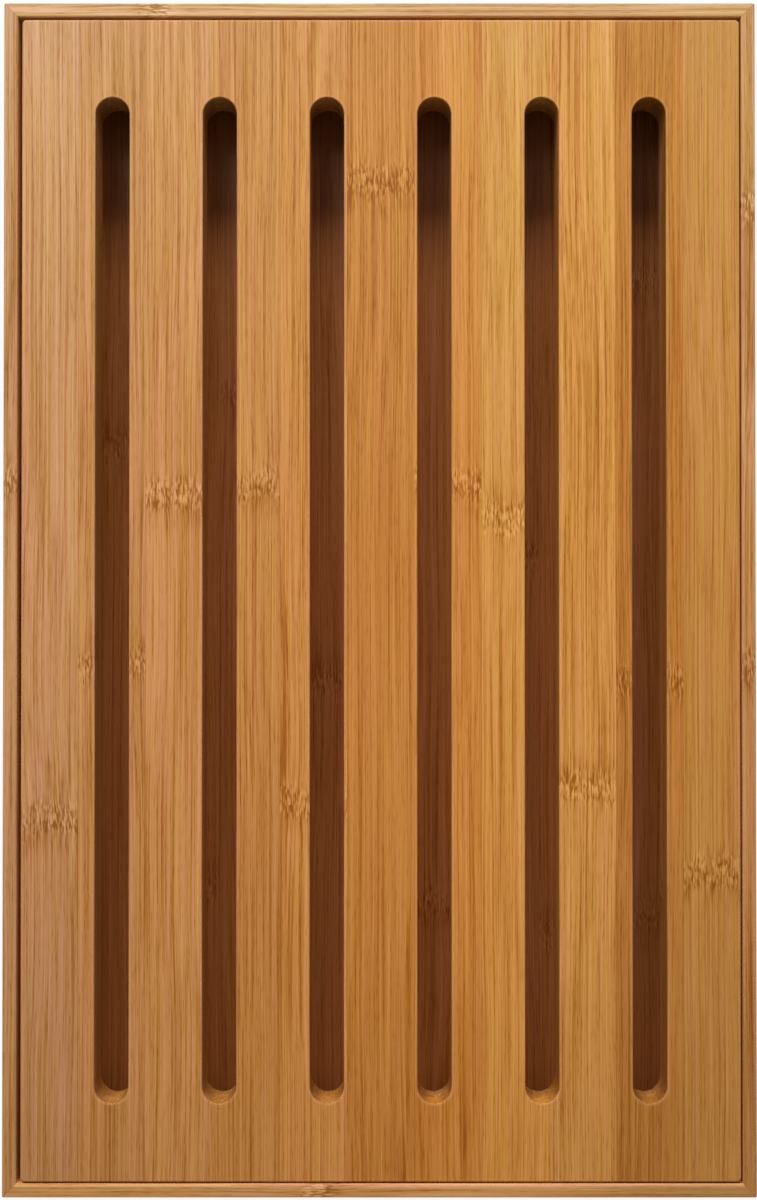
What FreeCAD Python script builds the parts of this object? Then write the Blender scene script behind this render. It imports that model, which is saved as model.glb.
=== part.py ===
import FreeCAD, Part
import math
import os
import Sketcher
from FreeCAD import Placement, Rotation, Vector

# Bread board with crumb catcher: a slotted bamboo board lies loose in a shallow bamboo tray.
# Crumbs fall through the six slots onto the tray's floor, and the board lifts out to empty it.
# Millimetres. X runs across the board, Y along it, Z up. The origin is under the tray's middle,
# on the table.

# Driving dimensions
SIZES = [
    ("tray_length", 380.0, "outside length of the tray"),
    ("tray_width", 239.5, "outside width of the tray"),
    ("tray_height", 35.0, "height of the tray's rim above the table"),
    ("wall_thickness", 4.4, "thickness of the tray's walls"),
    ("tray_corner_radius", 0.6, "rounding of the tray's upright corners"),
    ("tray_edge_radius", 0.5, "easing of the rim's edges"),
    ("floor_raise", 2.5, "underside of the floor above the table"),
    ("floor_thickness", 5.0, "thickness of the tray's floor"),
    ("groove_depth", 2.0, "how deep the floor is let into the walls"),
    ("groove_gap", 0.2, "room for the floor to swell in its groove"),
    ("rest_width", 10.0, "how far a board rest stands in from its end wall"),
    ("rest_bevel", 1.0, "bevel on the inner top edge of a rest"),
    ("upper_ply", 7.5, "thickness of the board's upper ply"),
    ("lower_ply", 7.5, "thickness of the board's lower ply"),
    ("board_side_gap", 0.95, "mean gap between the board and a side wall"),
    ("board_end_gap", 0.65, "mean gap between the board and an end wall"),
    ("board_shift_right", 0.4, "how far the loose board lies right of the middle"),
    ("board_shift_front", 0.24, "how far the loose board lies towards the front"),
    ("board_corner_radius", 1.4, "rounding of the board's upright corners"),
    ("board_edge_radius", 0.7, "easing of the board's outer edges"),
    ("slot_width", 10.8, "width of a crumb slot"),
    ("slot_side_margin", 28.9, "board's edge to the middle of the first slot"),
    ("slot_end_margin", 25.0, "solid board beyond each end of a slot"),
    ("slot_edge_radius", 0.5, "easing of the slots' edges"),
    ("slot_count", 6, "number of crumb slots"),
    ("upper_strips_per_slot", 1.6, "strips of the upper ply from one slot to the next"),
    ("lower_strips_per_slot", 2, "strips of the lower ply from one slot to the next"),
    ("floor_strip_count", 11, "number of the floor's strips"),
    ("narrowest_share", 0.2, "least width of a trimmed edge strip, as a share of a full one"),
]

# Sizes that follow from the driving ones
DERIVED = [
    ("inner_length", "Sizes.tray_length - 2 * Sizes.wall_thickness", "length between the end walls"),
    ("inner_width", "Sizes.tray_width - 2 * Sizes.wall_thickness", "width between the side walls"),
    ("groove_reach", "Sizes.groove_depth - Sizes.groove_gap", "how far the floor enters a wall"),
    ("floor_length", "Derived.inner_length + 2 * Derived.groove_reach", "length of the floor"),
    ("floor_width", "Derived.inner_width + 2 * Derived.groove_reach", "width of the floor"),
    ("floor_top", "Sizes.floor_raise + Sizes.floor_thickness", "upper face of the floor"),
    ("board_thickness", "Sizes.upper_ply + Sizes.lower_ply", "thickness of the board"),
    ("board_underside", "Sizes.tray_height - Derived.board_thickness", "board's lower face"),
    ("ply_seam", "Derived.board_underside + Sizes.lower_ply", "height of the glue line of the plies"),
    ("rest_height", "Derived.board_underside - Derived.floor_top", "height of a board rest"),
    ("board_length", "Derived.inner_length - 2 * Sizes.board_end_gap", "length of the board"),
    ("board_width", "Derived.inner_width - 2 * Sizes.board_side_gap", "width of the board"),
    ("slot_length", "Derived.board_length - 2 * Sizes.slot_end_margin", "length of a slot"),
    ("slot_spread", "Derived.board_width - 2 * Sizes.slot_side_margin", "first to last slot"),
    ("slot_pitch", "Derived.slot_spread / (Sizes.slot_count - 1)", "one slot to the next"),
    ("upper_strip_width", "Derived.slot_pitch / Sizes.upper_strips_per_slot", "upper ply's strip"),
    ("lower_strip_width", "Derived.slot_pitch / Sizes.lower_strips_per_slot", "lower ply's strip"),
    ("floor_strip_width", "Derived.floor_width / Sizes.floor_strip_count", "floor's strip"),
    ("first_upper_strip", "Sizes.slot_side_margin - Derived.upper_strip_width / 2",
     "upper ply's trimmed first strip: the first slot is in the middle of the second"),
    ("first_lower_strip", "Sizes.slot_side_margin - Derived.lower_strip_width",
     "lower ply's trimmed first strip: each slot has a seam in its middle"),
]

TOLERANCE = 1e-4


def fill_sheet(doc, name, rows, as_formula):
    """Write one row per size: what it is, its value and its alias."""
    sheet = doc.addObject("Spreadsheet::Sheet", name)
    for number, (alias, content, meaning) in enumerate(rows, start=1):
        value_cell = f"B{number}"
        sheet.set(f"A{number}", meaning)
        sheet.setAlias(value_cell, alias)
        sheet.set(value_cell, f"={content}" if as_formula else str(content))
    doc.recompute()
    return sheet


def new_body(doc, name):
    body = doc.addObject("PartDesign::Body", name)
    body.Label = name
    return body


def origin_plane(body, role):
    return next(feature for feature in body.Origin.OriginFeatures if feature.Role == role)


def new_sketch(body, name, role="XY_Plane", height=None):
    """A sketch on one of the body's own planes, raised to a height if one is given."""
    sketch = body.newObject("Sketcher::SketchObject", name)
    sketch.AttachmentSupport = (origin_plane(body, role), [""])
    sketch.MapMode = "FlatFace"
    if height is not None:
        sketch.setExpression("AttachmentOffset.Base.z", height)
    return sketch


def constrain(sketch, name, formula, *definition):
    """Add a named constraint that follows a formula."""
    index = sketch.addConstraint(Sketcher.Constraint(*definition))
    sketch.renameConstraint(index, name)
    sketch.setExpression(f"Constraints.{name}", formula)


START, END, CENTRE = 1, 2, 3
X_AXIS, Y_AXIS = -1, -2
ORIGIN = (X_AXIS, START)


def draw_outline(sketch, corners):
    """Straight lines round the corners, joined end to end."""
    points = [Vector(x, y, 0) for x, y in corners]
    count = len(points)
    for number, point in enumerate(points):
        sketch.addGeometry(Part.LineSegment(point, points[(number + 1) % count]))
    for number in range(count):
        following = (number + 1) % count
        sketch.addConstraint(Sketcher.Constraint("Coincident", number, END, following, START))


def draw_rectangle(sketch, width, length, sheets):
    """A rectangle about the origin, whose two sizes are formulas."""
    half_width = sheets(width) / 2
    half_length = sheets(length) / 2
    draw_outline(sketch, [(-half_width, -half_length), (half_width, -half_length),
                          (half_width, half_length), (-half_width, half_length)])
    bottom, right, top, left = range(4)
    for line in (bottom, top):
        sketch.addConstraint(Sketcher.Constraint("Horizontal", line))
    for line in (right, left):
        sketch.addConstraint(Sketcher.Constraint("Vertical", line))
    sketch.addConstraint(Sketcher.Constraint("Symmetric", bottom, START, top, START, *ORIGIN))
    constrain(sketch, "width", width, "DistanceX", bottom, START, bottom, END, 2 * half_width)
    constrain(sketch, "length", length, "DistanceY", right, START, right, END, 2 * half_length)


def pad(body, sketch, name, height):
    feature = body.newObject("PartDesign::Pad", name)
    feature.Profile = sketch
    feature.setExpression("Length", height)
    body.Document.recompute()
    return feature


def pocket(body, sketch, name, depth):
    """Cut the sketch upwards by the depth, and see that it took something away."""
    before = body.Shape.Volume
    feature = body.newObject("PartDesign::Pocket", name)
    feature.Profile = sketch
    feature.Reversed = True
    feature.setExpression("Length", depth)
    body.Document.recompute()
    if not body.Shape.Volume < before - TOLERANCE:
        raise RuntimeError(f"{name} of {body.Label} cuts nothing")
    return feature


def ease(body, name, radius, wanted):
    """Round the edges of the body's present shape that are wanted."""
    base = body.Tip
    edges = [f"Edge{number}" for number, edge in enumerate(base.Shape.Edges, start=1) if wanted(edge)]
    feature = body.newObject("PartDesign::Fillet", name)
    feature.Base = (base, edges)
    feature.setExpression("Radius", radius)
    body.Document.recompute()
    return feature


def is_upright(edge):
    box = edge.BoundBox
    return box.ZLength > TOLERANCE and box.XLength < TOLERANCE and box.YLength < TOLERANCE


def lies_at(edge, height):
    box = edge.BoundBox
    return abs(box.ZMin - height) < TOLERANCE and abs(box.ZMax - height) < TOLERANCE


def is_outside(edge, half_width, half_length):
    """True where the edge lies on the outline of a block about the origin."""
    box = edge.BoundBox
    beyond_side = max(abs(box.XMin), abs(box.XMax)) > half_width - TOLERANCE
    beyond_end = max(abs(box.YMin), abs(box.YMax)) > half_length - TOLERANCE
    return beyond_side or beyond_end


# Tray

def make_frame(doc, sheets):
    """The four walls as they are glued up, grooved for the floor and eased all round."""
    frame = new_body(doc, "tray_frame")
    outline = new_sketch(frame, "outline")
    draw_rectangle(outline, "Sizes.tray_width", "Sizes.tray_length", sheets)
    pad(frame, outline, "block", "Sizes.tray_height")
    ease(frame, "corners", "Sizes.tray_corner_radius", is_upright)

    well = new_sketch(frame, "well_outline")
    draw_rectangle(well, "Derived.inner_width", "Derived.inner_length", sheets)
    pocket(frame, well, "well", "Sizes.tray_height")

    groove = new_sketch(frame, "groove_outline", height="Sizes.floor_raise")
    draw_rectangle(groove, "Derived.inner_width + 2 * Sizes.groove_depth",
                   "Derived.inner_length + 2 * Sizes.groove_depth", sheets)
    pocket(frame, groove, "groove", "Sizes.floor_thickness")

    rim = sheets("Sizes.tray_height")
    half_width = sheets("Sizes.tray_width") / 2
    half_length = sheets("Sizes.tray_length") / 2
    ease(frame, "rim_edges", "Sizes.tray_edge_radius",
         lambda edge: lies_at(edge, rim) or (lies_at(edge, 0) and is_outside(edge, half_width, half_length)))
    return frame


def make_wall(doc, frame, name, across, along, turn, sheets):
    """One wall of the frame, cut off by the mitres at its two ends."""
    wedge = new_body(doc, f"{name}_mitre")
    sketch = new_sketch(wedge, f"{name}_plan")
    thickness = sheets("Sizes.wall_thickness")
    face = sheets(across) / 2
    half = sheets(along) / 2
    draw_outline(sketch, [(face, -half), (face, half),
                          (face - thickness, half - thickness), (face - thickness, thickness - half)])
    outer, back_mitre, inner, front_mitre = range(4)
    sketch.addConstraint(Sketcher.Constraint("Symmetric", outer, START, outer, END, X_AXIS))
    sketch.addConstraint(Sketcher.Constraint("Symmetric", inner, START, inner, END, X_AXIS))
    constrain(sketch, "face", f"{across} / 2", "DistanceX", *ORIGIN, outer, START, face)
    constrain(sketch, "along", along, "DistanceY", outer, START, outer, END, 2 * half)
    constrain(sketch, "thickness", "Sizes.wall_thickness", "DistanceX", inner, END, outer, START, thickness)
    constrain(sketch, "inner_along", f"{along} - 2 * Sizes.wall_thickness",
              "DistanceY", inner, END, inner, START, 2 * (half - thickness))
    pad(wedge, sketch, f"{name}_block", "Sizes.tray_height")
    wedge.Placement = Placement(Vector(0, 0, 0), Rotation(Vector(0, 0, 1), turn))

    wall = doc.addObject("Part::Common", name)
    wall.Base = frame
    wall.Tool = wedge
    wall.Label = name
    return wall


def make_walls(doc, sheets):
    frame = make_frame(doc, sheets)
    width = "Sizes.tray_width"
    length = "Sizes.tray_length"
    plan = [("tray_right_wall", width, length, 0), ("tray_back_wall", length, width, 90),
            ("tray_left_wall", width, length, 180), ("tray_front_wall", length, width, 270)]
    return [make_wall(doc, frame, *wall, sheets) for wall in plan]


def make_rest(doc, name, turn, sheets):
    """A batten glued in the corner of an end wall and the floor. The board lies on it."""
    rest = new_body(doc, name)
    section = new_sketch(rest, f"{name}_section", "YZ_Plane")
    wall_face = sheets("Derived.inner_length") / 2
    reach = wall_face - sheets("Sizes.rest_width")
    floor = sheets("Derived.floor_top")
    underside = sheets("Derived.board_underside")
    draw_outline(section, [(reach, floor), (wall_face, floor), (wall_face, underside), (reach, underside)])
    bottom, against_wall, top, inner = range(4)
    for line in (bottom, top):
        section.addConstraint(Sketcher.Constraint("Horizontal", line))
    for line in (against_wall, inner):
        section.addConstraint(Sketcher.Constraint("Vertical", line))
    constrain(section, "wall_face", "Derived.inner_length / 2",
              "DistanceX", *ORIGIN, bottom, END, wall_face)
    constrain(section, "rest_width", "Sizes.rest_width",
              "DistanceX", bottom, START, bottom, END, wall_face - reach)
    constrain(section, "floor_top", "Derived.floor_top", "DistanceY", *ORIGIN, bottom, START, floor)
    constrain(section, "rest_height", "Derived.rest_height",
              "DistanceY", against_wall, START, against_wall, END, underside - floor)
    batten = pad(rest, section, f"{name}_batten", "Derived.inner_width")
    batten.SideType = "Symmetric"
    doc.recompute()

    bevelled = [f"Edge{number}" for number, edge in enumerate(rest.Shape.Edges, start=1)
                if lies_at(edge, underside) and edge.BoundBox.YMax < reach + TOLERANCE]
    bevel = rest.newObject("PartDesign::Chamfer", f"{name}_bevel")
    bevel.Base = (batten, bevelled)
    bevel.setExpression("Size", "Sizes.rest_bevel")
    rest.Placement = Placement(Vector(0, 0, 0), Rotation(Vector(0, 0, 1), turn))
    return rest


# Strips

def count_strips(width, first, full, sheets):
    """How many strips cover the width. One under the least share is left on its neighbour."""
    rest = (sheets(width) - sheets(first)) / sheets(full)
    return 1 + max(1, math.ceil(rest - sheets("Sizes.narrowest_share")))


def strip_spans(width, first, full, sheets):
    """Formulas for each strip's left edge and width, measured from the panel's left edge."""
    count = count_strips(width, first, full, sheets)
    spans = [("0", first)]
    for number in range(1, count - 1):
        spans.append((f"{first} + {number - 1} * {full}", full))
    last_edge = f"{first} + {count - 2} * {full}"
    spans.append((last_edge, f"{width} - ({last_edge})"))
    return spans


def make_strip(doc, name, left, width, length, bottom, thickness, shift=("0", "0")):
    """A straight strip along Y, about the middle of the length."""
    strip = doc.addObject("Part::Box", name)
    strip.Label = name
    strip.setExpression("Length", width)
    strip.setExpression("Width", length)
    strip.setExpression("Height", thickness)
    strip.setExpression("Placement.Base.x", f"{left} + {shift[0]}")
    strip.setExpression("Placement.Base.y", f"{shift[1]} - {length} / 2")
    strip.setExpression("Placement.Base.z", bottom)
    return strip


def make_floor(doc, sheets):
    """Strips laid side by side, their edges and ends let into the walls' groove."""
    width = "Derived.floor_width"
    full = "Derived.floor_strip_width"
    strips = []
    for number, (edge, span) in enumerate(strip_spans(width, full, full, sheets), start=1):
        strips.append(make_strip(doc, f"tray_floor_strip_{number:02d}", f"{edge} - {width} / 2", span,
                                 "Derived.floor_length", "Sizes.floor_raise", "Sizes.floor_thickness"))
    return strips


# Board

def draw_slot(sketch, sheets):
    """The first slot at the left: two straight sides and half-round ends."""
    radius = sheets("Sizes.slot_width") / 2
    middle = -sheets("Derived.slot_spread") / 2
    reach = sheets("Derived.slot_length") / 2 - radius
    right = sketch.addGeometry(Part.LineSegment(Vector(middle + radius, -reach, 0),
                                                Vector(middle + radius, reach, 0)))
    back = sketch.addGeometry(Part.ArcOfCircle(
        Part.Circle(Vector(middle, reach, 0), Vector(0, 0, 1), radius), 0, math.pi))
    left = sketch.addGeometry(Part.LineSegment(Vector(middle - radius, reach, 0),
                                               Vector(middle - radius, -reach, 0)))
    front = sketch.addGeometry(Part.ArcOfCircle(
        Part.Circle(Vector(middle, -reach, 0), Vector(0, 0, 1), radius), math.pi, 2 * math.pi))
    sketch.addConstraint([
        Sketcher.Constraint("Tangent", right, END, back, START),
        Sketcher.Constraint("Tangent", back, END, left, START),
        Sketcher.Constraint("Tangent", left, END, front, START),
        Sketcher.Constraint("Tangent", front, END, right, START),
        Sketcher.Constraint("Vertical", right),
        Sketcher.Constraint("Symmetric", front, CENTRE, back, CENTRE, X_AXIS)])
    constrain(sketch, "end_radius", "Sizes.slot_width / 2", "Radius", back, radius)
    constrain(sketch, "straight", "Derived.slot_length - Sizes.slot_width",
              "DistanceY", right, START, right, END, 2 * reach)
    constrain(sketch, "from_middle", "Derived.slot_spread / 2",
              "DistanceX", back, CENTRE, *ORIGIN, -middle)


def make_blank(doc, sheets):
    """The two plies as they are glued up, cut to size, slotted and eased."""
    blank = new_body(doc, "board_blank")
    outline = new_sketch(blank, "board_outline")
    draw_rectangle(outline, "Derived.board_width", "Derived.board_length", sheets)
    pad(blank, outline, "panel", "Derived.board_thickness")
    ease(blank, "board_corners", "Sizes.board_corner_radius", is_upright)

    slot_outline = new_sketch(blank, "slot_outline")
    draw_slot(slot_outline, sheets)
    first_slot = pocket(blank, slot_outline, "first_slot", "Derived.board_thickness")
    one_slot_left = blank.Shape.Volume
    slots = blank.newObject("PartDesign::LinearPattern", "slots")
    slots.Originals = [first_slot]
    slots.Direction = (slot_outline, ["H_Axis"])
    slots.setExpression("Length", "Derived.slot_spread")
    slots.setExpression("Occurrences", "Sizes.slot_count")
    blank.Tip = slots
    doc.recompute()
    if not blank.Shape.Volume < one_slot_left - TOLERANCE:
        raise RuntimeError("the slots are not repeated")

    half_width = sheets("Derived.board_width") / 2
    half_length = sheets("Derived.board_length") / 2
    faces = (0, sheets("Derived.board_thickness"))

    def on_face(edge):
        return any(lies_at(edge, face) for face in faces)

    ease(blank, "board_edges", "Sizes.board_edge_radius",
         lambda edge: on_face(edge) and is_outside(edge, half_width, half_length))
    ease(blank, "slot_edges", "Sizes.slot_edge_radius",
         lambda edge: on_face(edge) and not is_outside(
             edge, half_width - sheets("Sizes.board_edge_radius"),
             half_length - sheets("Sizes.board_edge_radius")))
    blank.setExpression("Placement.Base.x", "Sizes.board_shift_right")
    blank.setExpression("Placement.Base.y", "-Sizes.board_shift_front")
    blank.setExpression("Placement.Base.z", "Derived.board_underside")
    doc.recompute()
    return blank


def make_ply(doc, blank, ply, bottom, thickness, first, full, sheets):
    """The strips of one ply, each cut out of the slotted blank."""
    width = "Derived.board_width"
    shift = ("Sizes.board_shift_right", "-Sizes.board_shift_front")
    strips = []
    for number, (edge, span) in enumerate(strip_spans(width, first, full, sheets), start=1):
        name = f"board_{ply}_strip_{number:02d}"
        stick = make_strip(doc, f"{name}_stick", f"{edge} - {width} / 2", span,
                           "Derived.board_length", bottom, thickness, shift)
        strip = doc.addObject("Part::Common", name)
        strip.Base = blank
        strip.Tool = stick
        strip.Label = name
        strips.append(strip)
    return strips


def make_board(doc, sheets):
    blank = make_blank(doc, sheets)
    upper = make_ply(doc, blank, "upper", "Derived.ply_seam", "Sizes.upper_ply",
                     "Derived.first_upper_strip", "Derived.upper_strip_width", sheets)
    lower = make_ply(doc, blank, "lower", "Derived.board_underside", "Sizes.lower_ply",
                     "Derived.first_lower_strip", "Derived.lower_strip_width", sheets)
    return upper + lower


# Checks and export

def check_objects(doc):
    for item in doc.Objects:
        if "Invalid" in item.State or "Error" in item.State:
            raise RuntimeError(f"{item.Label} failed: {item.State}")


def check_parts(parts):
    for part in parts:
        shape = part.Shape
        if shape.isNull() or not shape.isValid() or not shape.Solids:
            raise RuntimeError(f"{part.Label} has no valid solid")


def main():
    doc = FreeCAD.newDocument("bread_board")
    fill_sheet(doc, "Sizes", SIZES, as_formula=False)
    derived = fill_sheet(doc, "Derived", DERIVED, as_formula=True)

    def sheets(formula):
        """The present value of a formula on the two sheets."""
        return float(derived.evalExpression(formula))

    parts = make_walls(doc, sheets)
    parts += [make_rest(doc, "tray_back_rest", 0, sheets), make_rest(doc, "tray_front_rest", 180, sheets)]
    parts += make_floor(doc, sheets)
    parts += make_board(doc, sheets)
    doc.recompute()

    check_objects(doc)
    check_parts(parts)
    os.makedirs("parts", exist_ok=True)
    for part in parts:
        part.Shape.exportStep(f"parts/{part.Label}.step")
    print(f"{len(parts)} parts")


main()
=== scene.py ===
import random
from collections import namedtuple

import bpy
from mathutils import Matrix, Vector


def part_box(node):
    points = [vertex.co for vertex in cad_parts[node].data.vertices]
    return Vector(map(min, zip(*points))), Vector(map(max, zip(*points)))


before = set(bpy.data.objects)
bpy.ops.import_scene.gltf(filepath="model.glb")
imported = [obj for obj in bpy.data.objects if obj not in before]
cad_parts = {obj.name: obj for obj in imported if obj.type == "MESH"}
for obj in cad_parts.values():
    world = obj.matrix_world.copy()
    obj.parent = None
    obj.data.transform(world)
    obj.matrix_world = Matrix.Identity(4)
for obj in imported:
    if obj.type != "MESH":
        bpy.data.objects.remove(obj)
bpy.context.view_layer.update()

# Bread board with crumb catcher: a slotted bamboo board lying loose in a bamboo tray.
# The CAD nodes have the object's shapes, down to their eased edges, and all of them stay.
# Here each strip, wall and batten gets its own bamboo: its tone, its fibres, the knuckles where
# the culm had its joints, the glue lines beside it and the ease of its edges.
# Places on the object and the camera's are in millimetres, the table's and lamps' in metres.

MM = 0.001
MM_IN_A_METRE = 1000


# Bamboo tones, linear red, green and blue of the middle of a strip
TONES = {
    "cream": (0.648, 0.335, 0.118),
    "blond": (0.554, 0.260, 0.097),
    "straw": (0.569, 0.246, 0.073),
    "honey": (0.574, 0.235, 0.055),
    "gold": (0.608, 0.255, 0.049),
    "amber": (0.559, 0.212, 0.038),
    "corn": (0.593, 0.265, 0.056),
    "wheat": (0.583, 0.255, 0.058),
    "biscuit": (0.500, 0.224, 0.084),
    "sand": (0.655, 0.305, 0.100),
    "dun": (0.422, 0.203, 0.055),
    "russet": (0.464, 0.171, 0.020),
    "toffee": (0.437, 0.170, 0.030),
    "umber": (0.490, 0.156, 0.033),
}

# A piece of bamboo: its tone at the back or right end and at the front or left end, how light it
# is, how strong its fibres are and its knuckles' places along it
Piece = namedtuple("Piece", "first_tone second_tone lightness contrast knuckles")

# The upper ply's strips from the left, and how strong the marks of their knuckles are
UPPER_STRIPS = [
    Piece("blond", "biscuit", 1.05, 0.86, [-68.6]),
    Piece("straw", "straw", 0.97, 0.92, [-15.1]),
    Piece("straw", "straw", 1.04, 0.86, [30.7]),
    Piece("honey", "honey", 0.97, 0.97, [36.6]),
    Piece("honey", "honey", 1.06, 0.95, [-67.6]),
    Piece("amber", "amber", 1.01, 0.90, [133.0]),
    Piece("amber", "amber", 1.11, 0.82, [39.3]),
    Piece("corn", "gold", 1.09, 0.82, [26.0]),
    Piece("gold", "wheat", 1.07, 1.00, [-55.7]),
    Piece("russet", "toffee", 1.11, 0.92, [-26.6]),
    Piece("gold", "wheat", 0.92, 0.68, [-89.9]),
]
UPPER_MARKING = 0.88

# The floor's strips likewise, in a darker, redder tone than the board's. Only what lies under a
# slot shows from above.
FLOOR_STRIPS = [
    Piece("umber", "umber", 1.04, 0.85, [-40.0]),
    Piece("umber", "umber", 1.00, 0.85, [45.0]),
    Piece("umber", "umber", 1.08, 0.85, [-96.0]),
    Piece("umber", "umber", 1.00, 0.85, [64.0]),
    Piece("umber", "umber", 1.02, 0.85, [-27.2]),
    Piece("umber", "umber", 1.10, 0.85, [140.0]),
    Piece("umber", "umber", 1.12, 0.85, [-102.0]),
    Piece("umber", "umber", 1.02, 0.85, [12.0]),
    Piece("umber", "umber", 1.06, 0.85, [-106.0]),
    Piece("umber", "umber", 0.92, 0.85, [97.0, -116.0]),
    Piece("umber", "umber", 1.00, 0.85, [58.0]),
]
FLOOR_MARKING = 0.55

# The unseen lower ply: tones that its strips take in turn, how light they may be, and how far
# from the middle their knuckles may lie
LOWER_TONES = ["straw", "honey", "gold", "honey"]
LOWER_LIGHTNESS = (0.98, 1.08)
LOWER_KNUCKLE_REACH = 150

WALLS = {
    "tray_left_wall": Piece("blond", "blond", 0.97, 1.00, [24.5]),
    "tray_right_wall": Piece("sand", "straw", 0.87, 1.00, [119.3, -26.7]),
    "tray_back_wall": Piece("cream", "cream", 0.97, 0.95, [-62.0]),
    "tray_front_wall": Piece("dun", "blond", 1.17, 0.95, [-25.0]),
}
LENGTHWISE_WALLS = ("tray_left_wall", "tray_right_wall")
RESTS = {
    "tray_back_rest": Piece("honey", "honey", 0.95, 1.00, [71.0]),
    "tray_front_rest": Piece("amber", "amber", 1.00, 1.00, [-38.0]),
}

# How strongly each wall's inner top edge is eased, as the slope beside its rounding
WALL_EASE = {
    "tray_left_wall": 0.50,
    "tray_right_wall": 0.20,
    "tray_back_wall": 0.0,
    "tray_front_wall": 0.45,
}

# How far from a wall's inner face its ease starts, and how wide it is
EASE_START = 0.3
EASE_WIDTH = 1.3

# Seeds of the random draws, to which a piece's number in its table is added, the seed of the
# lower ply's rows, and the range that the shift of a piece's patterns is drawn from
UPPER_SEED = 100
LOWER_SEED = 200
FLOOR_SEED = 300
WALL_SEED = 410
REST_SEED = 500
LOWER_PLY_SEED = 41
PATTERN_SHIFT = (20, 900)


# Places of the object's edges, read from the CAD nodes

def span(names, axis):
    """Lowest and highest place of some nodes along an axis, in millimetres."""
    boxes = [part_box(name) for name in names]
    return min(low[axis] for low, _ in boxes) / MM, max(high[axis] for _, high in boxes) / MM


def nodes_called(start):
    return sorted(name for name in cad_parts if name.startswith(start))


UPPER = nodes_called("board_upper_strip")
LOWER = nodes_called("board_lower_strip")
FLOOR = nodes_called("tray_floor_strip")

BOARD_SIDES = span(UPPER, 0)
BOARD_ENDS = span(UPPER, 1)
BOARD_FACES = (span(LOWER, 2)[0], span(UPPER, 2)[1])
PLY_SEAM = span(UPPER, 2)[0]
TRAY_SIDES = span(LENGTHWISE_WALLS, 0)
TRAY_ENDS = span(["tray_front_wall", "tray_back_wall"], 1)
RIM = span(["tray_left_wall"], 2)[1]

# The walls' thickness and the slots' places, as the part's source has them
WALL_THICKNESS = 4.4
SLOT_COUNT = 6
SLOT_WIDTH = 10.8
SLOT_SIDE_MARGIN = 28.9
SLOT_END_MARGIN = 25.0
FIRST_SLOT = BOARD_SIDES[0] + SLOT_SIDE_MARGIN
SLOT_PITCH = (BOARD_SIDES[1] - BOARD_SIDES[0] - 2 * SLOT_SIDE_MARGIN) / (SLOT_COUNT - 1)
SLOT_MIDDLE = sum(BOARD_ENDS) / 2
SLOT_STRAIGHT = (BOARD_ENDS[1] - BOARD_ENDS[0]) / 2 - SLOT_END_MARGIN - SLOT_WIDTH / 2


# Shader nodes written as sums

class Number:
    """A number, colour or shader that comes out of a node. A number takes part in sums."""

    def __init__(self, nodes, socket):
        self.nodes = nodes
        self.socket = socket

    def sum(self, operation, *others):
        return self.nodes.node("ShaderNodeMath", {"operation": operation},
                               dict(enumerate((self, *others))))

    def __add__(self, other):
        return self.sum("ADD", other)

    __radd__ = __add__

    def __sub__(self, other):
        return self.sum("SUBTRACT", other)

    def __rsub__(self, other):
        return self.nodes.node("ShaderNodeMath", {"operation": "SUBTRACT"}, {0: other, 1: self})

    def __mul__(self, other):
        return self.sum("MULTIPLY", other)

    __rmul__ = __mul__

    def __truediv__(self, other):
        return self.sum("DIVIDE", other)

    def __abs__(self):
        return self.sum("ABSOLUTE")

    def least(self, other):
        return self.sum("MINIMUM", other)

    def most(self, other):
        return self.sum("MAXIMUM", other)

    def squared(self):
        return self.sum("MULTIPLY", self)

    def root(self):
        return self.sum("SQRT")

    def rise(self, start, end):
        """0 up to start, 1 from end on, and smooth between."""
        return self.nodes.node("ShaderNodeMapRange", {"interpolation_type": "SMOOTHSTEP"},
                               {"Value": self, "From Min": start, "From Max": end})

    def fall(self, start, end):
        return 1 - self.rise(start, end)


def most_of(numbers):
    """The greatest of some numbers at each point, or None where there are none."""
    greatest = None
    for number in numbers:
        greatest = number if greatest is None else greatest.most(number)
    return greatest


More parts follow.
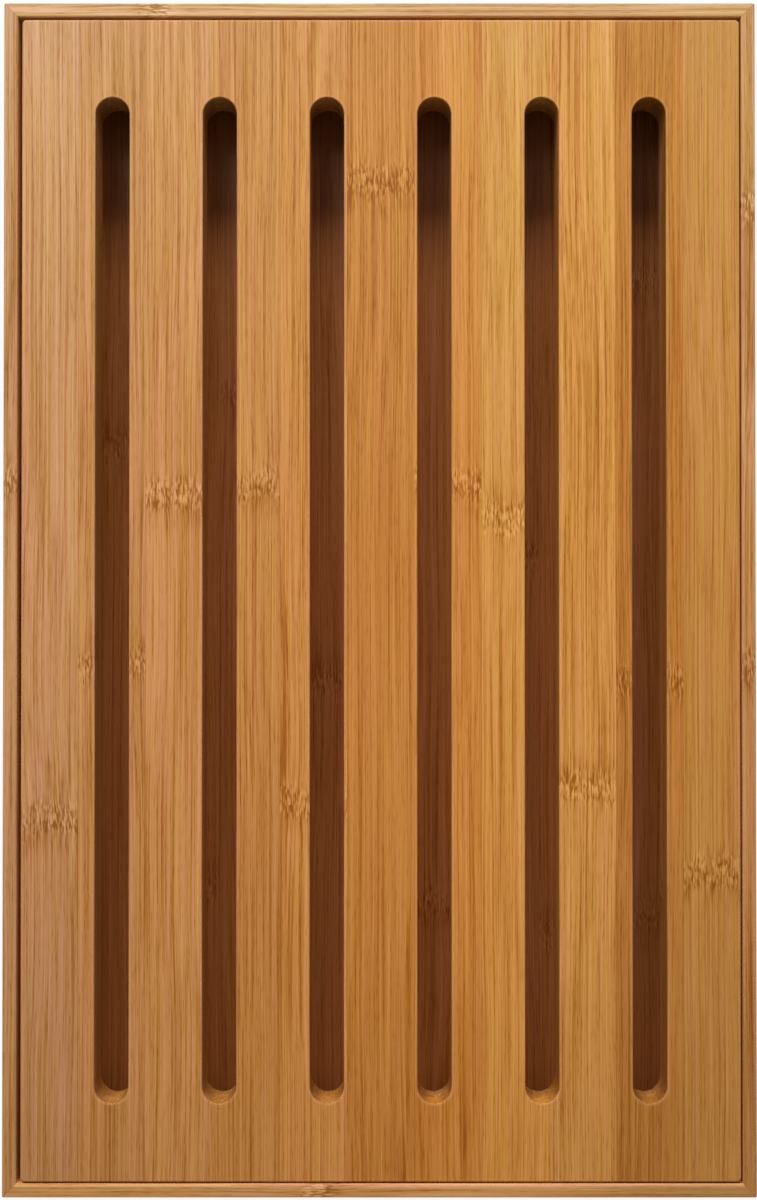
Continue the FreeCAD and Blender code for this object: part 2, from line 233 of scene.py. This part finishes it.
class Nodes:
    """The nodes of a material or of the world."""

    def __init__(self, tree):
        self.tree = tree
        self.tree.nodes.clear()

    def node(self, kind, settings=None, inputs=None, output=0):
        """One node: its settings first, then its sockets' values or links. Returns an output."""
        made = self.tree.nodes.new(kind)
        for key, value in (settings or {}).items():
            if key == "stops":
                self.set_stops(made.color_ramp, value)
            else:
                setattr(made, key, value)
        for key, value in (inputs or {}).items():
            if isinstance(value, Number):
                self.tree.links.new(value.socket, made.inputs[key])
            else:
                made.inputs[key].default_value = value
        return Number(self, made.outputs[output]) if made.outputs else None

    def set_stops(self, ramp, stops):
        while len(ramp.elements) < len(stops):
            ramp.elements.new(0.5)
        for element, (place, colour) in zip(ramp.elements, stops):
            element.position = place
            element.color = (*colour, 1)

    def coordinates(self, kind):
        """The three numbers of one of the texture coordinates."""
        vector = self.node("ShaderNodeTexCoord", output=kind)
        first = self.node("ShaderNodeSeparateXYZ", inputs={0: vector})
        return [Number(self, output) for output in first.socket.node.outputs]

    def place(self, x, y, z):
        return self.node("ShaderNodeCombineXYZ", inputs={"X": x, "Y": y, "Z": z})

    def noise(self, x, y, z, detail=0.0, roughness=0.5):
        """Smooth noise from 0 to 1, one wave to a unit."""
        return self.node("ShaderNodeTexNoise", {"noise_dimensions": "3D"},
                         {"Vector": self.place(x, y, z), "Scale": 1.0, "Detail": detail,
                          "Roughness": roughness})

    def cells(self, x, y, z):
        """How far a point is from the middle of its cell, in cells of about a unit."""
        return self.node("ShaderNodeTexVoronoi", {"voronoi_dimensions": "3D", "feature": "F1"},
                         {"Vector": self.place(x, y, z), "Scale": 1.0}, "Distance")

    def mix(self, share, first, second, blend="MIX"):
        """Two colours mixed."""
        first, second = (c if isinstance(c, Number) else (*c, 1) for c in (first, second))
        return self.node("ShaderNodeMix", {"data_type": "RGBA", "blend_type": blend},
                         {0: share, 6: first, 7: second}, 2)

    def change(self, share, colour, factors):
        """A colour of which a share is multiplied by some factors."""
        return self.mix(share, colour, self.mix(1.0, colour, factors, "MULTIPLY"))


def new_material(name):
    material = bpy.data.materials.new(name)
    material.use_nodes = True
    return material


def shade(colour, factor):
    return tuple(part * factor for part in colour)


def shade_under_sheen(colour, factors):
    """A colour that seems changed by some factors when the sheen lies over it."""
    return tuple(max((part + SHEEN) * factor - SHEEN, 0.0) for part, factor in zip(colour, factors))


# Bamboo

# Fibres: millimetres from one to the next across the strip, and how long they run
FINE_FIBRE = (0.50, 90.0)
THREAD = (0.95, 180.0)
DASH = (0.62, 6.5)
BAND = (3.1, 190.0)
CLOUD = (11.0, 150.0)
BLUSH = (1.9, 75.0)

# How strongly each shows, and which of the threads' and dashes' waves do
FINE_SHARE = 1.52
BAND_SHARE = 0.33
CLOUD_SHARE = 0.30
DARK_THREAD_SHARE = 0.24
DARK_THREADS = (0.56, 0.70)
PALE_THREAD_SHARE = 0.17
PALE_THREADS = (0.32, 0.44)
DASH_SHARE = 0.19
DASH_REACH = (0.12, 0.42)

# How far fibres wander off their strip's length, and the waves of that along and across it
DRIFT = 2.6
DRIFT_LENGTH = 85
DRIFT_WIDTH = 40

# A knuckle's line wanders across the strip: its waves across and through the strip, how far they
# reach and how much the line may slope
LINE_WAVES = (5.5, 9)
LINE_WANDER = 7
LINE_SLOPE = 0.12

# How far from that line a knuckle's marks, its swerving fibres and its one-sided stain reach
KNUCKLE_REACH = (2.08, 7.8)
SWERVE_REACH = (1.5, 15.0)
STAIN_START = (-1.5, 2.5)
STAIN_END = (4.0, 15.0)

# How far a knuckle's fibres swerve, and the waves of that across, along and through the strip
KNUCKLE_SWERVE = 1.3
SWERVE_WAVES = (2.6, 9, 3)

# A knuckle's streaks, marks and teeth: their widths and lengths, how strongly each shows and
# which of their waves do
KNUCKLE_STREAK = (0.52, 7.5)
STREAK_SHARE = 0.95
KNUCKLE_MARK = (0.44, 2.8)
MARK_DEPTH = 1.4
MARK_SHARE = 0.50
MARKS = (0.39, 0.61)
KNUCKLE_TOOTH = (0.64, 2.9)
TOOTH_SHARE = 0.75
TOOTH_REACH = (0.28, 0.60)
MARKS_MEAN = 0.52

# Marks come in patches: their waves, how strongly they show and what is taken off
PATCH_WAVES = (2.6, 3.2)
PATCH_STRENGTH = 1.7
PATCH_SHIFT = 0.05

# The stain beside a knuckle: its waves, which of them show and how strongly
STAIN_WAVES = (1.5, 9)
STAINS = (0.30, 0.62)
STAIN_SHARE = 0.20

# What the surface's sheen adds to every tone
SHEEN = 0.0175

# How a tone changes from the dark fibres, at level 0, to the pale ones, at level 1, and what is
# added to the fibres' sum to give their level
MEAN_LEVEL = 0.51
FIBRE_TONES = [
    (0.00, (0.56, 0.40, 0.20)),
    (0.30, (0.82, 0.73, 0.56)),
    (0.52, (1.00, 1.00, 1.00)),
    (1.00, (1.26, 1.37, 1.70)),
]

# Golden and rosy blushes in every tone, and which of the blushes' waves turn from one to the other
GOLDEN = (0.985, 1.018, 0.87)
ROSY = (1.012, 0.982, 1.10)
BLUSHES = (0.30, 0.70)

# Where a piece's second tone gives way to its first, lengthwise and crosswise
LENGTHWISE_TURN = (-180, 130)
CROSSWISE_TURN = (50, 105)

# Painted light along the whole object: what it changes and where it starts and ends
# Painted sheen: paler and cooler towards the back, where the window lamp is
PAINTED_BACK_SHEEN = (0.945, 1.03, 1.06)
PAINTED_BACK_SHEEN_FROM = (-30, 180)
# Painted whitish reflection along the back end
PAINTED_BACK_REFLECTION = (0.98, 1.01, 1.16)
PAINTED_BACK_REFLECTION_FROM = (150, 186)
# Painted shade, darker towards the front
PAINTED_FRONT_SHADE = (0.93, 0.915, 0.87)
PAINTED_FRONT_SHADE_TO = (-185, -60)

# Glue: its shade, how strongly it shows, half a line's core and half its whole width, and its
# patches' waves along and across, their strength and the least that they leave
GLUE = (0.60, 0.48, 0.36)
GLUE_SHARE = 0.42
SEAM_LINE = (0.03, 0.22)
MITRE_LINE = (0.08, 0.30)
PLY_LINE = (0.05, 0.22)
GLUE_PATCH_WAVES = (14, 9)
GLUE_PATCH_STRENGTH = 0.9
GLUE_PATCH_LEAST = 0.35

# Cut ends of fibres, in the slots and outside: how squarely a face must cross the fibres, and the
# distance past the slots' straight sides where the one gives way to the other
END_GRAIN = (0.96, 1.02, 0.98)
OUTER_END_GRAIN = (0.97, 0.91, 0.90)
END_FACES = (0.45, 0.90)
SLOT_END_LIMITS = (15, 20)

# The fibre bundles that a cut end shows as dots: millimetres from one to the next, how deep they
# reach, their sizes in cells, their shade and how strongly it shows
BUNDLE_GAP = 0.80
BUNDLE_DEPTH = 40
BUNDLE_SIZES = (0.22, 0.46)
BUNDLE_END = (0.58, 0.46, 0.38)
BUNDLE_SHARE = 0.65

# Painted shade on the eased edges that cross the fibres, which dims the highlight of their
# rounding, and on the slots' long sides. Limits are how squarely a face must cross the fibres or
# look sideways, and depths into the board.
PAINTED_EASE_SHADE = (0.80, 0.77, 0.74)
EASE_FACES_START = (0.08, 0.45)
EASE_FACES_END = (0.80, 0.97)
PAINTED_SLOT_SIDE_SHADE = (0.80, 0.78, 0.80)
SIDE_FACES = (0.75, 0.97)
SLOT_SIDE_LIMITS = (2, 1)

# Painted light on the sides that face each other across the gap: they are made paler to lift the
# gap's shade. How squarely a face must look out, and how deep into the board or short of a wall's
# inner face that reaches
PAINTED_GAP_LIGHT = (1.36, 1.42, 1.50)
GAP_LIGHT_FACES = (0.60, 0.95)
BOARD_GAP_LIGHT_DEPTHS = (0.5, 1.0)
WALL_GAP_LIGHT_DEPTHS = (0.5, 0.1)

# Eased edges are paler, partly rubbed wear and partly a painted highlight of their rounding: their
# tone, where that ends, how strong it is and its patches
RUBBED_AND_HIGHLIT = (0.66, 0.34, 0.15)
RUBBED_AND_HIGHLIT_DEPTHS = (0.45, 1.25)
RUBBED_AND_HIGHLIT_SHARE = 0.25
RUBBED_AND_HIGHLIT_PATCH = 9
RUBBED_AND_HIGHLIT_PATCH_LEAST = 0.30

# Roughness and what adds to it: fibres, cut ends, rubbed edges and smudges of a size
ROUGHNESS = 0.43
FIBRE_ROUGHNESS = 0.10
END_ROUGHNESS = 0.12
RUBBED_ROUGHNESS = 0.05
SMUDGE_ROUGHNESS = 0.10
SMUDGE = 34
SPECULAR_LEVEL = 0.3

# Millimetres from the lowest fibres to the highest, and how much lower cut ends lie, as a share
FIBRE_RELIEF = 0.021
END_SINK = 0.2


class Bamboo(Nodes):
    """The bamboo of one piece. Its fibres run along one axis: v is along them, u across and w
    through the piece. far shifts its patterns away from every other piece's."""

    def __init__(self, name, piece, seed, along):
        self.material = new_material(name)
        super().__init__(self.material.node_tree)
        self.name = name
        self.piece = piece
        self.along = along
        self.x, self.y, self.z = (part * MM_IN_A_METRE for part in self.coordinates("Object"))
        lengthwise = along == "Y"
        self.u, self.v = (self.x, self.y) if lengthwise else (self.y, self.x)
        self.w = self.z
        self.dice = random.Random(seed)
        self.far = self.dice.uniform(*PATTERN_SHIFT)

        facing_x, facing_y, _ = self.coordinates("Normal")
        self.endward = abs(facing_y if lengthwise else facing_x)
        self.sideward = abs(facing_x if lengthwise else facing_y)
        self.endwise = self.endward.rise(*END_FACES)

    def find_knuckles(self):
        """The culm's joints: how near a point is to one, to its swerve and to its stain."""
        across, through = LINE_WAVES
        wave = self.noise(self.u / across, self.far, self.w / through, detail=1.0) - 0.5
        wander = wave * LINE_WANDER + self.u * self.dice.uniform(-LINE_SLOPE, LINE_SLOPE)
        past = [(self.v - knuckle + wander) * self.dice.choice((-1, 1))
                for knuckle in self.piece.knuckles]
        self.near = most_of(abs(distance).fall(*KNUCKLE_REACH) for distance in past)
        self.bend = most_of(abs(distance).fall(*SWERVE_REACH) for distance in past)
        self.stain = most_of(distance.rise(*STAIN_START) * distance.fall(*STAIN_END)
                             for distance in past)

    def run(self, size, detail=1.0, roughness=0.55):
        """Noise drawn out along the fibres, from its waves' width and length."""
        width, length = size
        return self.noise(self.across / width, self.v / length + self.far, self.deep / width,
                          detail, roughness)

    def lay_fibres(self):
        """Fibres that wander a little and swerve round the knuckles."""
        drift = (self.noise(self.v / DRIFT_LENGTH, self.u / DRIFT_WIDTH + self.far,
                            self.w / DRIFT_WIDTH) - 0.5) * DRIFT
        across, along, through = SWERVE_WAVES
        wave = self.noise(self.u / across, self.v / along, self.w / through + self.far, detail=1.0)
        swerve = (wave - 0.5) * self.bend * KNUCKLE_SWERVE
        self.across = self.u + drift + swerve + self.far
        self.upright = self.u + drift + self.far
        self.deep = self.w + drift + self.far

        fine = self.run(FINE_FIBRE, detail=2.0, roughness=0.6) - 0.5
        band = self.run(BAND) - 0.5
        cloud = self.run(CLOUD) - 0.5
        thread = self.run(THREAD)
        width, length = DASH
        dash = self.cells(self.across / width, self.v / length + self.far, self.deep / width)
        self.fibres = (fine * FINE_SHARE + band * BAND_SHARE + cloud * CLOUD_SHARE
                       - thread.rise(*DARK_THREADS) * DARK_THREAD_SHARE
                       + thread.fall(*PALE_THREADS) * PALE_THREAD_SHARE
                       - dash.fall(*DASH_REACH) * DASH_SHARE)

    def mark_knuckles(self, marking):
        """The short marks of a knuckle, the streaks round it and the stain beside it."""
        width, length = KNUCKLE_MARK
        mark = self.noise(self.upright / width, self.v / length, self.deep / MARK_DEPTH, detail=0.5)
        width, length = KNUCKLE_TOOTH
        tooth = self.cells(self.upright / width, self.v / length, self.deep / width)
        width, length = PATCH_WAVES
        patch = self.noise(self.u / width, self.v / length, self.far, detail=1.0) * PATCH_STRENGTH
        short = (mark.rise(*MARKS) * MARK_SHARE + tooth.fall(*TOOTH_REACH) * TOOTH_SHARE
                 - MARKS_MEAN) * self.near * (patch - PATCH_SHIFT)
        streak = self.run(KNUCKLE_STREAK, detail=0.5) - 0.5
        self.marks = (short + streak * self.bend * STREAK_SHARE) * marking
        width, length = STAIN_WAVES
        stain = self.noise(self.across / width, self.v / length, self.far, detail=1.0)
        self.tint = stain.rise(*STAINS) * self.stain * STAIN_SHARE

    def toned(self, tone):
        """A tone from its dark fibres to its pale ones."""
        base = shade(TONES[tone], self.piece.lightness)
        stops = [(place, shade_under_sheen(base, factors)) for place, factors in FIBRE_TONES]
        return self.node("ShaderNodeValToRGB", {"stops": stops}, {"Fac": self.level})

    def colour_fibres(self):
        """The piece's tones on its fibres and knuckles, with painted sheen and reflection towards
        the back and painted shade towards the front.
        """
        self.level = self.fibres * self.piece.contrast + MEAN_LEVEL + self.marks - self.tint
        self.colour = self.toned(self.piece.first_tone)
        if self.piece.second_tone != self.piece.first_tone:
            turn = LENGTHWISE_TURN if self.along == "Y" else CROSSWISE_TURN
            self.colour = self.mix(self.v.fall(*turn), self.colour,
                                   self.toned(self.piece.second_tone))
        hue = self.mix(self.run(BLUSH).rise(*BLUSHES), GOLDEN, ROSY)
        self.colour = self.mix(1.0, self.colour, hue, "MULTIPLY")
        # Painted sheen that grows towards the back
        self.colour = self.change(self.y.rise(*PAINTED_BACK_SHEEN_FROM), self.colour, PAINTED_BACK_SHEEN)
        if self.name not in FLOOR:
            # Painted whitish reflection along the back end
            self.colour = self.change(self.y.rise(*PAINTED_BACK_REFLECTION_FROM), self.colour, PAINTED_BACK_REFLECTION)
            # Painted shade towards the front
            self.colour = self.change(self.y.fall(*PAINTED_FRONT_SHADE_TO), self.colour, PAINTED_FRONT_SHADE)

    def glue(self, seams):
        """Glue lines at the strip's seams, between the plies and in the mitres."""
        lines = [abs(self.u - seam).fall(*SEAM_LINE) for seam in seams]
        if self.name in WALLS:
            corner = (TRAY_SIDES[1] - abs(self.x)) - (TRAY_ENDS[1] - abs(self.y))
            lines.append(abs(corner).fall(*MITRE_LINE))
        if self.name in UPPER + LOWER:
            lines.append(abs(self.z - PLY_SEAM).fall(*PLY_LINE))
        line = most_of(lines)
        if line is None:
            return
        along, across = GLUE_PATCH_WAVES
        patchy = self.noise(self.v / along, self.u / across + self.far, self.w)
        patchy = patchy * GLUE_PATCH_STRENGTH + GLUE_PATCH_LEAST
        self.colour = self.change((line * patchy).least(1.0) * GLUE_SHARE, self.colour, GLUE)

    def cut_ends(self):
        """Cut ends take up more oil and show the fibre bundles. Eased edges that cross the fibres
        and the slots' long sides get painted shade.
        """
        start, end = SLOT_END_LIMITS
        in_slot_end = abs(self.y - SLOT_MIDDLE).fall(SLOT_STRAIGHT + start, SLOT_STRAIGHT + end)
        grain = self.mix(in_slot_end, OUTER_END_GRAIN, END_GRAIN)
        self.colour = self.change(self.endwise, self.colour, grain)
        bundle = self.cells(self.u / BUNDLE_GAP + self.far, self.v / BUNDLE_DEPTH,
                            self.w / BUNDLE_GAP + self.far).fall(*BUNDLE_SIZES)
        self.colour = self.change(self.endwise * bundle * BUNDLE_SHARE, self.colour, BUNDLE_END)
        # Painted shade on the eased edges that cross the fibres, dimming their highlight
        eased = self.endward.rise(*EASE_FACES_START) * self.endward.fall(*EASE_FACES_END)
        self.colour = self.change(eased, self.colour, PAINTED_EASE_SHADE)
        # Painted shade on the slots' long sides
        if self.name in UPPER + LOWER:
            start, end = (BOARD_SIDES[1] - depth for depth in SLOT_SIDE_LIMITS)
            in_slot = self.sideward.rise(*SIDE_FACES) * abs(self.x).fall(start, end)
            self.colour = self.change(in_slot, self.colour, PAINTED_SLOT_SIDE_SHADE)

    def light_gap_sides(self, gap_light):
        """Paint light on the sides that face each other across the gap, by making them paler."""
        share = gap_light(self.x, self.y) * self.sideward.most(self.endward).rise(*GAP_LIGHT_FACES)
        self.colour = self.change(share, self.colour, PAINTED_GAP_LIGHT)

    def rub_and_highlight_edges(self, edges):
        """Make the eased edges paler in patches, partly rubbed wear and partly a painted highlight
        of their rounding. Returns where.
        """
        patchy = self.noise(self.x / RUBBED_AND_HIGHLIT_PATCH + self.far, self.y / RUBBED_AND_HIGHLIT_PATCH,
                            self.z / RUBBED_AND_HIGHLIT_PATCH, detail=2.0) + RUBBED_AND_HIGHLIT_PATCH_LEAST
        rubbed_and_highlit = edges(self.x, self.y, self.z).fall(*RUBBED_AND_HIGHLIT_DEPTHS)
        rubbed_and_highlit = rubbed_and_highlit * patchy.least(1.0) * (1 - self.endward)
        self.colour = self.mix(rubbed_and_highlit * RUBBED_AND_HIGHLIT_SHARE, self.colour,
                               shade(RUBBED_AND_HIGHLIT, self.piece.lightness))
        return rubbed_and_highlit

    def finish(self, rubbed_and_highlit, ease):
        """The surface: its roughness, its fibres' relief and the height of an eased edge."""
        rough = ROUGHNESS + (0.5 - self.level) * FIBRE_ROUGHNESS + self.endwise * END_ROUGHNESS
        if rubbed_and_highlit is not None:
            rough = rough + rubbed_and_highlit * RUBBED_ROUGHNESS
        smudge = self.noise(self.x / SMUDGE + self.far, self.y / SMUDGE, self.z / SMUDGE,
                            detail=2.0) - 0.5
        height = (self.level - self.endwise * END_SINK) * FIBRE_RELIEF
        if ease is not None:
            height = height + ease(self.x, self.y)
        bump = self.node("ShaderNodeBump", inputs={
            "Strength": 1.0, "Distance": MM, "Height": height})
        surface = self.node("ShaderNodeBsdfPrincipled", inputs={
            "Base Color": self.colour, "Roughness": rough + smudge * SMUDGE_ROUGHNESS,
            "Normal": bump, "Specular IOR Level": SPECULAR_LEVEL})
        self.node("ShaderNodeOutputMaterial", inputs={"Surface": surface})


def bamboo(name, piece, seed, along="Y", seams=(), edges=None, gap_light=None, ease=None, marking=1.0):
    """A piece's own bamboo. seams are places across it, edges a function that gives how far a point
    is from the nearest eased edge, raw one that gives the share of a side facing the gap that gets
    painted light and ease one that gives the height of an eased edge. marking is how strong its
    knuckles are."""
    wood = Bamboo(name, piece, seed, along)
    wood.find_knuckles()
    wood.lay_fibres()
    wood.mark_knuckles(marking)
    wood.colour_fibres()
    wood.glue(seams)
    wood.cut_ends()
    if gap_light is not None:
        wood.light_gap_sides(gap_light)
    rubbed_and_highlit = None if edges is None else wood.rub_and_highlight_edges(edges)
    wood.finish(rubbed_and_highlit, ease)
    return wood.material


# How far a point is from the object's edges, in millimetres

def slot_edges(x, y):
    """Distance from the wall of the nearest slot, negative inside it."""
    half = SLOT_PITCH / 2
    left_most = FIRST_SLOT - half
    cell = (x - left_most).sum("FLOORED_MODULO", SLOT_PITCH) - half
    beyond = (abs(y - SLOT_MIDDLE) - SLOT_STRAIGHT).most(0.0)
    return (cell.squared() + beyond.squared()).root() - SLOT_WIDTH / 2


def board_depth(x, y):
    """Distance from the outside of the board."""
    side = (x - BOARD_SIDES[0]).least(BOARD_SIDES[1] - x)
    end = (y - BOARD_ENDS[0]).least(BOARD_ENDS[1] - y)
    return side.least(end)


def board_edges(x, y, z):
    face = (z - BOARD_FACES[0]).least(BOARD_FACES[1] - z)
    outline = board_depth(x, y).least(abs(slot_edges(x, y)))
    return outline.most(face)


def board_gap_light(x, y):
    """Share of painted gap light: 1 at the board's outside and 0 in its slots."""
    return board_depth(x, y).fall(*BOARD_GAP_LIGHT_DEPTHS)


def wall_depth(x, y):
    """Distance from the outside of the tray's walls."""
    return (TRAY_SIDES[1] - abs(x)).least(TRAY_ENDS[1] - abs(y))


def wall_edges(x, y, z):
    outside = wall_depth(x, y)
    inside = abs(outside - WALL_THICKNESS)
    return abs(outside).least(inside).most((RIM - z).least(z))


def wall_gap_light(x, y):
    """Share of painted gap light: 1 at the walls' inner faces and 0 at the outside."""
    start, end = (WALL_THICKNESS - depth for depth in WALL_GAP_LIGHT_DEPTHS)
    return wall_depth(x, y).rise(start, end)


def wall_ease(slope):
    """The height of an eased inner edge that starts at a slope beside its rounding."""
    def height(x, y):
        near = 1 - ((WALL_THICKNESS - EASE_START) - wall_depth(x, y)) / EASE_WIDTH
        return near.most(0.0).least(1.0).squared() * (-0.5 * slope * EASE_WIDTH)
    return height


def dress(name, material):
    """Give a CAD node its own material in place of the one it came with."""
    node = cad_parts[name]
    node.data.materials.clear()
    node.data.materials.append(material)


def inner_seams(names, number):
    """The seams that a strip shares with its neighbours."""
    low, high = span([names[number]], 0)
    found = []
    if number > 0:
        found.append(low)
    if number < len(names) - 1:
        found.append(high)
    return found


def dress_board():
    for number, (name, piece) in enumerate(zip(UPPER, UPPER_STRIPS)):
        dress(name, bamboo(name, piece, UPPER_SEED + number, seams=inner_seams(UPPER, number),
                           edges=board_edges, gap_light=board_gap_light, marking=UPPER_MARKING))
    dice = random.Random(LOWER_PLY_SEED)
    for number, name in enumerate(LOWER):
        tone = LOWER_TONES[number % len(LOWER_TONES)]
        lightness = dice.uniform(*LOWER_LIGHTNESS)
        knuckle = dice.uniform(-LOWER_KNUCKLE_REACH, LOWER_KNUCKLE_REACH)
        piece = Piece(tone, tone, lightness, 1.0, [knuckle])
        dress(name, bamboo(name, piece, LOWER_SEED + number, seams=inner_seams(LOWER, number),
                           edges=board_edges, gap_light=board_gap_light))


def dress_tray():
    for number, (name, piece) in enumerate(zip(FLOOR, FLOOR_STRIPS)):
        dress(name, bamboo(name, piece, FLOOR_SEED + number, seams=inner_seams(FLOOR, number),
                           marking=FLOOR_MARKING))
    for number, (name, piece) in enumerate(WALLS.items()):
        along = "Y" if name in LENGTHWISE_WALLS else "X"
        dress(name, bamboo(name, piece, WALL_SEED + number, along=along, edges=wall_edges,
                           gap_light=wall_gap_light, ease=wall_ease(WALL_EASE[name])))
    for number, (name, piece) in enumerate(RESTS.items()):
        dress(name, bamboo(name, piece, REST_SEED + number, along="X"))


# Table, light and camera

WHITE = (1, 1, 1, 1)

# The table: half its width and its height in metres, its specks' two paints and their scale, and
# how white the camera sees it
TABLE_HALF = 3.0
TABLE_TOP = -0.00005
TABLE_PAINTS = ((0.80, 0.80, 0.79), (0.84, 0.84, 0.83))
SPECK_SCALE = 60.0
SPECK_DETAIL = 3.0
TABLE_WHITENESS = 0.90

FILL_COLOUR = (0.94, 0.97, 1.0, 1)
FILL_STRENGTH = 0.26

# Each lamp's place, what it looks at, its width, length, watts and colour
LAMPS = {
    "window": ((-0.17, 1.46, 0.93), (0.0, 0.0, 0.03), 1.20, 0.50, 30.0, (1.0, 0.985, 0.96)),
    "left_reflector": ((-0.42, 0.52, 0.96), (0.0, 0.05, 0.03), 0.45, 0.45, 2.5, (1.0, 1.0, 1.0)),
    "right_reflector": ((0.44, 0.52, 0.96), (0.0, 0.05, 0.03), 0.40, 0.40, 1.3, (1.0, 1.0, 1.0)),
}

# The camera's place and what it looks at, in millimetres, and its focal length over its sensor
CAMERA_PLACE = (-0.3, -5.76, 588.35)
CAMERA_TARGET = (-0.3, -0.5, 35.0)
FOCAL_SHARE = 1.4502
SENSOR_WIDTH = 36.0
NEAREST_SEEN = 0.01
FARTHEST_SEEN = 20.0


def make_table():
    """A plain pale surface that keeps the object's shadow and shows nearly white to the camera."""
    material = new_material("pale_table")
    pale = Nodes(material.node_tree)
    speck = pale.node("ShaderNodeTexNoise", inputs={
        "Vector": pale.node("ShaderNodeTexCoord", output="Object"), "Scale": SPECK_SCALE,
        "Detail": SPECK_DETAIL})
    matt = pale.node("ShaderNodeBsdfDiffuse", inputs={"Color": pale.mix(speck, *TABLE_PAINTS)})
    glow = pale.node("ShaderNodeEmission", inputs={"Color": WHITE, "Strength": 1.0})
    seen = pale.node("ShaderNodeLightPath", output="Is Camera Ray")
    both = pale.node("ShaderNodeMixShader", inputs={0: seen * TABLE_WHITENESS, 1: matt, 2: glow})
    pale.node("ShaderNodeOutputMaterial", inputs={"Surface": both})

    corners = [(-1, -1), (1, -1), (1, 1), (-1, 1)]
    mesh = bpy.data.meshes.new("table")
    mesh.from_pydata([(x * TABLE_HALF, y * TABLE_HALF, TABLE_TOP) for x, y in corners], [],
                     [(0, 1, 2, 3)])
    mesh.materials.append(material)
    table = bpy.data.objects.new("table", mesh)
    bpy.context.scene.collection.objects.link(table)


def make_world():
    """Soft light from all round, plain white where the camera sees past the table."""
    world = bpy.data.worlds.new("studio")
    world.use_nodes = True
    bpy.context.scene.world = world
    studio = Nodes(world.node_tree)
    fill = studio.node("ShaderNodeBackground", inputs={
        "Color": FILL_COLOUR, "Strength": FILL_STRENGTH})
    white = studio.node("ShaderNodeBackground", inputs={"Color": WHITE, "Strength": 1.0})
    seen = studio.node("ShaderNodeLightPath", output="Is Camera Ray")
    both = studio.node("ShaderNodeMixShader", inputs={0: seen, 1: fill, 2: white})
    studio.node("ShaderNodeOutputWorld", inputs={0: both})


def make_lamp(name, place, target, width, length, watts, colour):
    """A soft lamp in its place, looking at its target."""
    lamp = bpy.data.lights.new(name, "AREA")
    lamp.shape = "RECTANGLE"
    lamp.size = width
    lamp.size_y = length
    lamp.energy = watts
    lamp.color = colour
    item = bpy.data.objects.new(name, lamp)
    bpy.context.scene.collection.objects.link(item)
    item.location = place
    direction = Vector(target) - Vector(place)
    item.rotation_euler = direction.to_track_quat("-Z", "Y").to_euler()


def make_camera():
    """A camera above the board, with the object's right side to the picture's right."""
    data = bpy.data.cameras.new("camera")
    data.sensor_width = SENSOR_WIDTH
    data.lens = FOCAL_SHARE * data.sensor_width
    data.clip_start = NEAREST_SEEN
    data.clip_end = FARTHEST_SEEN
    camera = bpy.data.objects.new("camera", data)
    bpy.context.scene.collection.objects.link(camera)
    place = Vector(CAMERA_PLACE) * MM
    target = Vector(CAMERA_TARGET) * MM
    back = (place - target).normalized()
    right = Vector((1, 0, 0))
    up = back.cross(right)
    turn = Matrix((right, up, back)).transposed()
    camera.matrix_world = Matrix.Translation(place) @ turn.to_4x4()
    bpy.context.scene.camera = camera


dress_board()
dress_tray()
make_table()
make_world()
for lamp_name, lamp_values in LAMPS.items():
    make_lamp(lamp_name, *lamp_values)
make_camera()
bpy.context.scene.view_settings.view_transform = "Standard"
